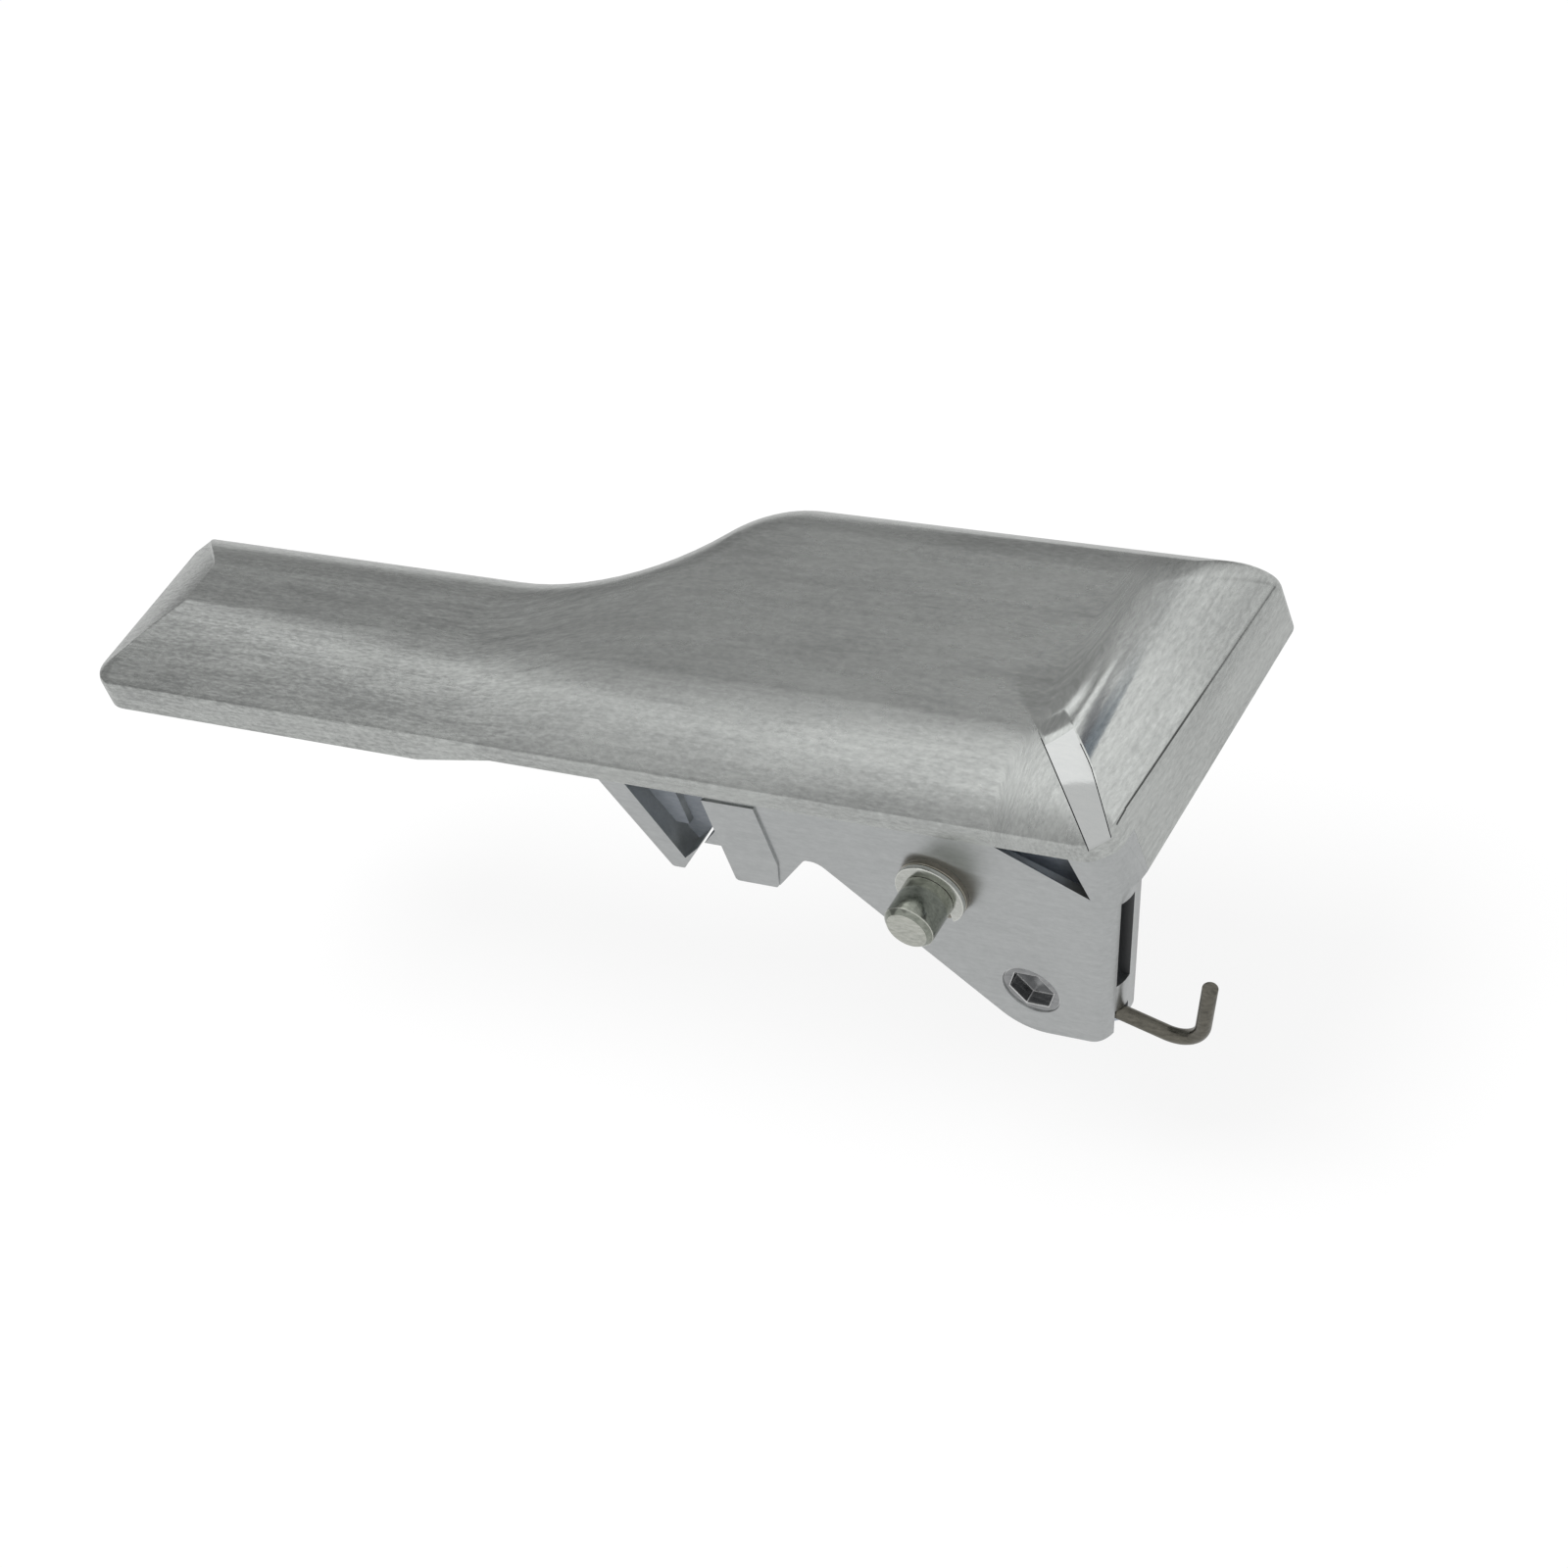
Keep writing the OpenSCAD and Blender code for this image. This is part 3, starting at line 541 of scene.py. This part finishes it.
# The plate is brushed along the paddle and round its widening, across the end slope, and polished
# to a mirror at the near right corner, where a strip between two creases was left by the polishing.
# Its flecks are strongest on the slope of the grip, and faint on the flat top.
brush_w = 48 * mm
end_brush_from = end_x - 20 * mm
end_brush_to = end_x - 15 * mm
grip_flecks, wide_flecks, top_flecks = 1.3, 0.75, 0.75
slope_top_z = top_z - 0.8 * mm
flat_top_z = top_z - 0.1 * mm
polish_centre = (26 * mm, 9 * mm, 19 * mm)
polish_full_r = 15 * mm
polish_end_r = 27 * mm
polish_rough = 0.07
polish_tooth = 0.1
crease_normal = (0.714, 0.7)
crease_from = 19.3 * mm
crease_to = 20.2 * mm
satin_plate = metal("satin_plate", (0.36, 0.371, 0.362), (0.64, 0.659, 0.64), 0.27, 0.03, 0.002 * mm)
tree = satin_plate.node_tree
shader = tree.nodes["Principled BSDF"]
pattern = tree.nodes["pattern"]
split = add_node(tree, "ShaderNodeSeparateXYZ")
tree.links.new(tree.nodes["place"].outputs["Object"], split.inputs[0])
x, y, z = split.outputs
width = mapped(tree, x, widen_x, widen_out_x, grip_w, far_y - near_y, smooth=True)
across = figured(tree, "DIVIDE", figured(tree, "SUBTRACT", y, near_y), width)
run = add_node(tree, "ShaderNodeCombineXYZ")
tree.links.new(x, run.inputs[0])
tree.links.new(figured(tree, "MULTIPLY", across, brush_w), run.inputs[1])
tree.links.new(z, run.inputs[2])
end_run = add_node(tree, "ShaderNodeCombineXYZ")
tree.links.new(y, end_run.inputs[0])
tree.links.new(x, end_run.inputs[1])
tree.links.new(z, end_run.inputs[2])
turned = add_node(tree, "ShaderNodeMix", data_type="VECTOR")
tree.links.new(mapped(tree, x, end_brush_from, end_brush_to, 0, 1, smooth=True), turned.inputs["Factor"])
tree.links.new(run.outputs[0], turned.inputs["A"])
tree.links.new(end_run.outputs[0], turned.inputs["B"])
tree.links.new(turned.outputs["Result"], pattern.inputs["Place"])
flecked = mapped(tree, x, widen_x, widen_out_x, grip_flecks, wide_flecks, smooth=True)
on_top = mapped(tree, z, slope_top_z, flat_top_z, 1, top_flecks, smooth=True)
tone = tree.nodes["colour"].inputs["Factor"].links[0].from_socket
contrast = figured(tree, "MULTIPLY", flecked, on_top)
calmed = figured(tree, "MULTIPLY_ADD", figured(tree, "SUBTRACT", tone, 0.5), contrast, 0.5)
tree.links.new(calmed, tree.nodes["colour"].inputs["Factor"])
from_corner = add_node(tree, "ShaderNodeVectorMath", operation="DISTANCE")
tree.links.new(tree.nodes["place"].outputs["Object"], from_corner.inputs[0])
from_corner.inputs[1].default_value = polish_centre
nearness = mapped(tree, from_corner.outputs["Value"], polish_full_r, polish_end_r, 1, 0, smooth=True)
beside = figured(tree, "ADD", figured(tree, "MULTIPLY", x, crease_normal[0]),
                 figured(tree, "MULTIPLY", y, crease_normal[1]))
right_of_crease = mapped(tree, beside, crease_from, crease_to, 0, 1, smooth=True)
polish = figured(tree, "MULTIPLY", nearness, right_of_crease)
satin_gloss = shader.inputs["Roughness"].links[0].from_socket
gloss = add_node(tree, "ShaderNodeMix", data_type="FLOAT")
tree.links.new(polish, gloss.inputs["Factor"])
tree.links.new(satin_gloss, gloss.inputs["A"])
gloss.inputs["B"].default_value = polish_rough
tree.links.new(gloss.outputs["Result"], shader.inputs["Roughness"])
tree.links.new(mapped(tree, polish, 0, 1, 1, polish_tooth), tree.nodes["bump"].inputs["Strength"])

mirror_plate = metal("mirror_plate", (0.56, 0.575, 0.57), (0.6, 0.61, 0.6), 0.07, 0.02, 0.002 * mm)
# Painted shade: an almost black plate that stands for the shade in the strip's creases.
crease_painted_shade = metal("crease_painted_shade", (0.03, 0.03, 0.035), (0.07, 0.07, 0.075), 0.4, 0.05, 0.004 * mm)
for paint in (satin_plate, mirror_plate, crease_painted_shade):
    paddle.data.materials.append(paint)

# The faces of the strip are mirrors, and the narrow ones along its creases get painted shade, almost black.
# They are found by their corners, whose place across the strip is known from the rings.
strip_places = range(strip_edges[0] - 1, strip_edges[1] + 2)
crease_places = [edge + step for edge in strip_edges for step in (-1, 0)]
same_place = 0.002 * mm
mirror_drop = 0.2 * mm
right_crease_drop = 0.6 * mm
strip_points = KDTree(len(strip_places) * len(outer_rings))
place_of = []
for ring in outer_rings:
    for k in strip_places:
        strip_points.insert(ring[strip_start + k], len(place_of))
        place_of.append(k)
strip_points.balance()
for face in paddle.data.polygons:
    found = [strip_points.find(paddle.data.vertices[v].co) for v in face.vertices]
    on_strip = len(found) == 4 and max(distance for _, _, distance in found) < same_place
    if on_strip and face.center.z < top_z - mirror_drop:
        first = min(place_of[index] for _, index, _ in found)
        sunk = first <= strip_edges[0] or face.center.z < top_z - right_crease_drop
        face.material_index = 2 if first in crease_places and sunk else 1
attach(paddle, "lever")
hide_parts("lever_casting")


# The ribs under the paddle, cast with it: four across the grip, two under the wide half, and a deeper
# one whose lower edge takes the leg of the return spring.
rib_t = 2 * mm
rib_h = 5 * mm
rib_steps = 12
rib_foot_z = top_z - wall_t - rib_h
grip_rib_foot_z = grip_foot_z + 1 * mm
grip_ribs = 4
wide_rib_xs = (-19.07 * mm, -42.9 * mm)
ledge_rib_x = 22 * mm
ledge_foot_z = 6.8 * mm


def skin_z(y, y_far, crease):
    """Height of the middle of the skin over a line across the paddle."""
    near_u = (y - near_y) / near_slope_w
    far_u = (y_far - y) / far_round_w
    low_z, roundness = (lip_z, 0) if near_u < far_u else (far_lip_z, 1)
    return low_z + (top_z - low_z) * slope_height(min(near_u, far_u), roundness, crease) - wall_t / 2


def rib(name, x, y_from, y_to, y_far, foot_z, crease):
    """A rib across the paddle, from its foot up into the skin."""
    ys = [y_from + (y_to - y_from) * i / rib_steps for i in range(rib_steps + 1)]
    profile = [(y_to, foot_z), (y_from, foot_z)] + [(y, skin_z(y, y_far, crease)) for y in ys]
    piece = loft(name, [[Vector((x + side * rib_t / 2, *p)) for p in profile] for side in (-1, 1)])
    piece.data.materials.append(satin_plate)
    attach(piece, "lever")
    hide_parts("lever_casting")


for i in range(grip_ribs):
    rib_x = tip_x + tip_slope_w + rib_t + (grip_l - 2 * rib_t - tip_slope_w) * i / (grip_ribs - 1)
    rib(f"grip_rib_{i}", rib_x, near_y + wall_t / 2, grip_far_y - wall_t / 2, grip_far_y,
        grip_rib_foot_z, grip_crease)
for i, rib_x in enumerate(wide_rib_xs):
    rib(f"wide_rib_{i}", rib_x, arm_far_y, far_y - far_round_w, far_y, rib_foot_z, 0)
rib("ledge_rib", ledge_rib_x, arm_far_y, far_y - wall_t / 2, far_y, ledge_foot_z, 0)


# The arm: two walls cast with the paddle, with the stop block, the slanted web, the pocket and the
# window. It is cut out of the casting's solid under the lip, and run up into the skin.
arm_near_y = near_y + 1 * mm
gap_near_y = arm_near_y + 1.6 * mm
gap_far_y = gap_near_y + 2.8 * mm
arm_tip_x = -60.2 * mm
arm_cut_z = lip_foot_z - 0.2 * mm
cut_room = 0.005 * mm
end_root_h = 0.205 * mm
near_root_h = 2 * mm
far_root_h = 4.2 * mm
arm_edge = 0.18 * mm
arm_edge_turn = 40
# Painted shade between the walls: how dark it is in the pocket, and where it darkens towards the slit.
pocket_end_x = -30 * mm
pocket_shade = 0.55
slit_start_x = 20 * mm
slit_full_x = 24 * mm
slit_shade = 0.97


def copy_of_node(node, name):
    """A new piece with a merged copy of a CAD node's mesh."""
    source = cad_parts[node]
    piece = bpy.data.objects.new(name, source.data.copy())
    piece.data.materials.clear()
    bpy.context.scene.collection.objects.link(piece)
    make_active(piece)
    bpy.ops.mesh.customdata_custom_splitnormals_clear()
    bpy.ops.object.mode_set(mode="EDIT")
    bpy.ops.mesh.select_all(action="SELECT")
    bpy.ops.mesh.remove_doubles(threshold=0.002 * mm)
    bpy.ops.object.mode_set(mode="OBJECT")
    return piece


def keep_side(point, normal):
    """Cuts the piece in hand by a plane and keeps what lies behind the normal."""
    bpy.ops.mesh.select_all(action="SELECT")
    bpy.ops.mesh.bisect(plane_co=point, plane_no=normal, clear_outer=True)


def soften_edges(piece, width, turn):
    """Rounds every edge that turns by more than an angle, in the second material, and shades it smooth."""
    make_active(piece)
    bpy.ops.object.mode_set(mode="EDIT")
    bpy.ops.mesh.select_all(action="SELECT")
    bpy.ops.mesh.dissolve_limited(angle_limit=radians(0.5))
    bpy.ops.object.mode_set(mode="OBJECT")
    bevel = piece.modifiers.new("edges", "BEVEL")
    bevel.width = width
    bevel.segments = 2
    bevel.limit_method = "ANGLE"
    bevel.angle_limit = radians(turn)
    bevel.material = 1
    bpy.ops.object.modifier_apply(modifier=bevel.name)
    bpy.ops.object.shade_smooth_by_angle(angle=radians(35))


def root_height(place):
    """How far a point of the cut runs up into the skin."""
    if place.x > end_x - corner_r:
        return end_root_h
    return near_root_h if place.y < gap_far_y - cut_room else far_root_h


arm = copy_of_node("lever_casting", "lever_arm")
bpy.ops.object.mode_set(mode="EDIT")
keep_side((0, 0, arm_cut_z), (0, 0, 1))
keep_side((0, arm_far_y + cut_room, 0), (0, 1, 0))
keep_side((arm_tip_x, 0, 0), (-1, 0, 0))
bpy.ops.object.mode_set(mode="OBJECT")
for vertex in arm.data.vertices:
    if vertex.co.z > arm_cut_z - cut_room:
        vertex.co.z += root_height(vertex.co)

# The walls are plain satin plate with brighter edges. Between them the colour is painted shade with a bluish
# painted reflection, dull: light behind the window, half dark in the pocket and almost black in the slit.
cast_plate = metal("cast_plate", (0.48, 0.495, 0.495), (0.57, 0.585, 0.585), 0.36, 0.03, 0.002 * mm)
cast_edge = metal("cast_edge", (0.6, 0.61, 0.61), (0.7, 0.71, 0.71), 0.3, 0.05, 0.006 * mm)
# Painted shade: a dull bluish non-metal that stands for the shade and dark reflections between the walls.
cavity_painted_shade = metal("cavity_painted_shade", (0.4, 0.45, 0.51), (0.6, 0.65, 0.72), 0.5, 0.05, 0.01 * mm)
tree = cavity_painted_shade.node_tree
shader = tree.nodes["Principled BSDF"]
shader.inputs["Metallic"].default_value = 0
split = add_node(tree, "ShaderNodeSeparateXYZ")
tree.links.new(tree.nodes["place"].outputs["Object"], split.inputs[0])
in_pocket = mapped(tree, split.outputs[0], pocket_end_x - 1 * mm, pocket_end_x + 1 * mm, pocket_shade, 0)
in_slit = mapped(tree, split.outputs[0], slit_start_x, slit_full_x, 0, slit_shade)
shaded = add_node(tree, "ShaderNodeMix", data_type="RGBA")
shaded.inputs["B"].default_value = (0.02, 0.02, 0.02, 1)
tree.links.new(figured(tree, "MAXIMUM", in_pocket, in_slit), shaded.inputs["Factor"])
tree.links.new(tree.nodes["colour"].outputs["Result"], shaded.inputs["A"])
tree.links.new(shaded.outputs["Result"], shader.inputs["Base Color"])
for paint in (cast_plate, cast_edge, cavity_painted_shade):
    arm.data.materials.append(paint)
soften_edges(arm, arm_edge, arm_edge_turn)
# The faces between the walls take the painted shade.
for face in arm.data.polygons:
    if abs(face.normal.y) > 0.9 and gap_near_y - cut_room < face.center.y < gap_far_y + cut_room:
        face.material_index = 2
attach(arm, "lever")
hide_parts("lever_casting")


# The bushes: sintered bronze sleeves with a flange, pressed into both walls of the arm. The near one's
# flange shows as a dark collar behind the retaining ring.
bush_edge_w = 0.12 * mm
edge_turn = 30
bush_bronze = metal("bush_bronze", (0.16, 0.15, 0.125), (0.27, 0.25, 0.21), 0.3, 0.05, 0.008 * mm)
bush_edge = metal("bush_edge", (0.5, 0.47, 0.4), (0.6, 0.57, 0.5), 0.28, 0.05, 0.004 * mm)


def finished_copy(node, name, body, paint, edge_paint, edge):
    """A piece with a CAD node's shape, its edges broken and brightened."""
    piece = copy_of_node(node, name)
    piece.data.materials.append(paint)
    piece.data.materials.append(edge_paint)
    soften_edges(piece, edge, edge_turn)
    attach(piece, body)
    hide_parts(node)
    return piece


for side in ("near", "far"):
    finished_copy(f"{side}_bush", f"bush_{side}", "lever", bush_bronze, bush_edge, bush_edge_w)


# The cross pin: turned steel, zinc plated with a yellowish tint, with turning lines round it. Its end
# faces and chamfers are duller and lighter than its side.
pin_edge_w = 0.1 * mm
pin_zinc = metal("pin_zinc", (0.2, 0.215, 0.185), (0.38, 0.4, 0.35), 0.16, 0.05, 0.004 * mm,
                 patches_per_metre=420.0, streak_run=(0.3, 1.0, 0.3))
pin_edge = metal("pin_edge", (0.4, 0.41, 0.37), (0.68, 0.69, 0.63), 0.25, 0.05, 0.006 * mm)
cross_pin = finished_copy("pivot_pin", "cross_pin", "pivot", pin_zinc, pin_edge, pin_edge_w)
for face in cross_pin.data.polygons:
    if abs(face.normal.y) > 0.9:
        face.material_index = 1


# The retaining rings and the washer: stamped from zinc-plated steel, with rounded edges. An open ring
# sits in a groove near each end of the pin, and the washer lies between the spring and the far ring.
ring_edge_w = 0.2 * mm
ring_zinc = metal("ring_zinc", (0.5, 0.51, 0.48), (0.68, 0.69, 0.65), 0.27, 0.05, 0.006 * mm,
                  patches_per_metre=350.0)
ring_edge = metal("ring_edge", (0.66, 0.67, 0.63), (0.76, 0.77, 0.73), 0.22, 0.04, 0.004 * mm)
for node, name in (("near_retaining_ring", "ring_near"), ("far_retaining_ring", "ring_far"),
                   ("far_washer", "washer_far")):
    finished_copy(node, name, "pivot", ring_zinc, ring_edge, ring_edge_w)


# The return spring: oil-tempered wire wound round the pin behind the arm. One leg bears up on the
# ledge rib, and the other runs down to the bracket; the spring is one piece, attached to no body.
wire_r = 0.8 * mm
coil_r = 5.6 * mm
coil_turns = 4.25
coil_near_y = 5.5 * mm
coil_pitch = 1.75 * mm
lever_leg_l = 26 * mm
bracket_leg_l = 20 * mm
turn_steps = 32
wire_sides = 12
coil_steps = int(coil_turns * turn_steps)
coil_far_y = coil_near_y + coil_pitch * coil_turns
path = [Vector((lever_leg_l, coil_near_y, coil_r)), Vector((lever_leg_l / 2, coil_near_y, coil_r))]
for i in range(coil_steps + 1):
    turn = pi / 2 + 2 * pi * i / turn_steps
    path.append(Vector((coil_r * cos(turn), coil_near_y + coil_pitch * i / turn_steps, coil_r * sin(turn))))
path += [Vector((-coil_r, coil_far_y, -bracket_leg_l / 2)), Vector((-coil_r, coil_far_y, -bracket_leg_l))]
wire_angles = [2 * pi * k / wire_sides for k in range(wire_sides)]
wire_rings = []
for i, place in enumerate(path):
    ahead = (path[min(i + 1, len(path) - 1)] - path[max(i - 1, 0)]).normalized()
    side = ahead.cross(Vector((0, 1, 0))).normalized()
    rise = side.cross(ahead)
    wire_rings.append([place + wire_r * (side * cos(a) + rise * sin(a)) for a in wire_angles])
spring = loft("coil_spring", wire_rings)
bpy.ops.object.shade_smooth_by_angle(angle=radians(40))
spring_steel = metal("spring_steel", (0.2, 0.195, 0.18), (0.3, 0.29, 0.27), 0.3, 0.05, 0.006 * mm)
spring.data.materials.append(spring_steel)
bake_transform(spring)
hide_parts("return_spring")


# The socket pin in the arm's lower end: turned steel with a broached six-sided recess. It lies a little
# below the faces of the walls, and the eye of the pull link hangs on it between them.
socket_edge_w = 0.15 * mm
# Painted shade: the steel is coloured darker for the shade on the pin's recessed end and rim.
link_steel_painted_shade = metal("link_steel_painted_shade", (0.24, 0.245, 0.25), (0.4, 0.405, 0.41), 0.14, 0.05, 0.003 * mm,
                   patches_per_metre=350.0)
link_edge = metal("link_edge", (0.62, 0.62, 0.62), (0.72, 0.72, 0.72), 0.2, 0.04, 0.004 * mm)
finished_copy("link_pin", "socket_pin", "lever", link_steel_painted_shade, link_edge, socket_edge_w)


# The pull link: dark drawn wire with an eye round the socket pin and a hooked end outside the slit,
# which pulls the latch when the lever rocks.
wire_end_w = 0.2 * mm
wire_steel = metal("wire_steel", (0.11, 0.105, 0.09), (0.2, 0.19, 0.16), 0.3, 0.06, 0.008 * mm,
                   patches_per_metre=500.0)
wire_edge = metal("wire_edge", (0.25, 0.24, 0.21), (0.35, 0.34, 0.3), 0.28, 0.05, 0.006 * mm)
finished_copy("pull_link", "wire_link", "link", wire_steel, wire_edge, wire_end_w)
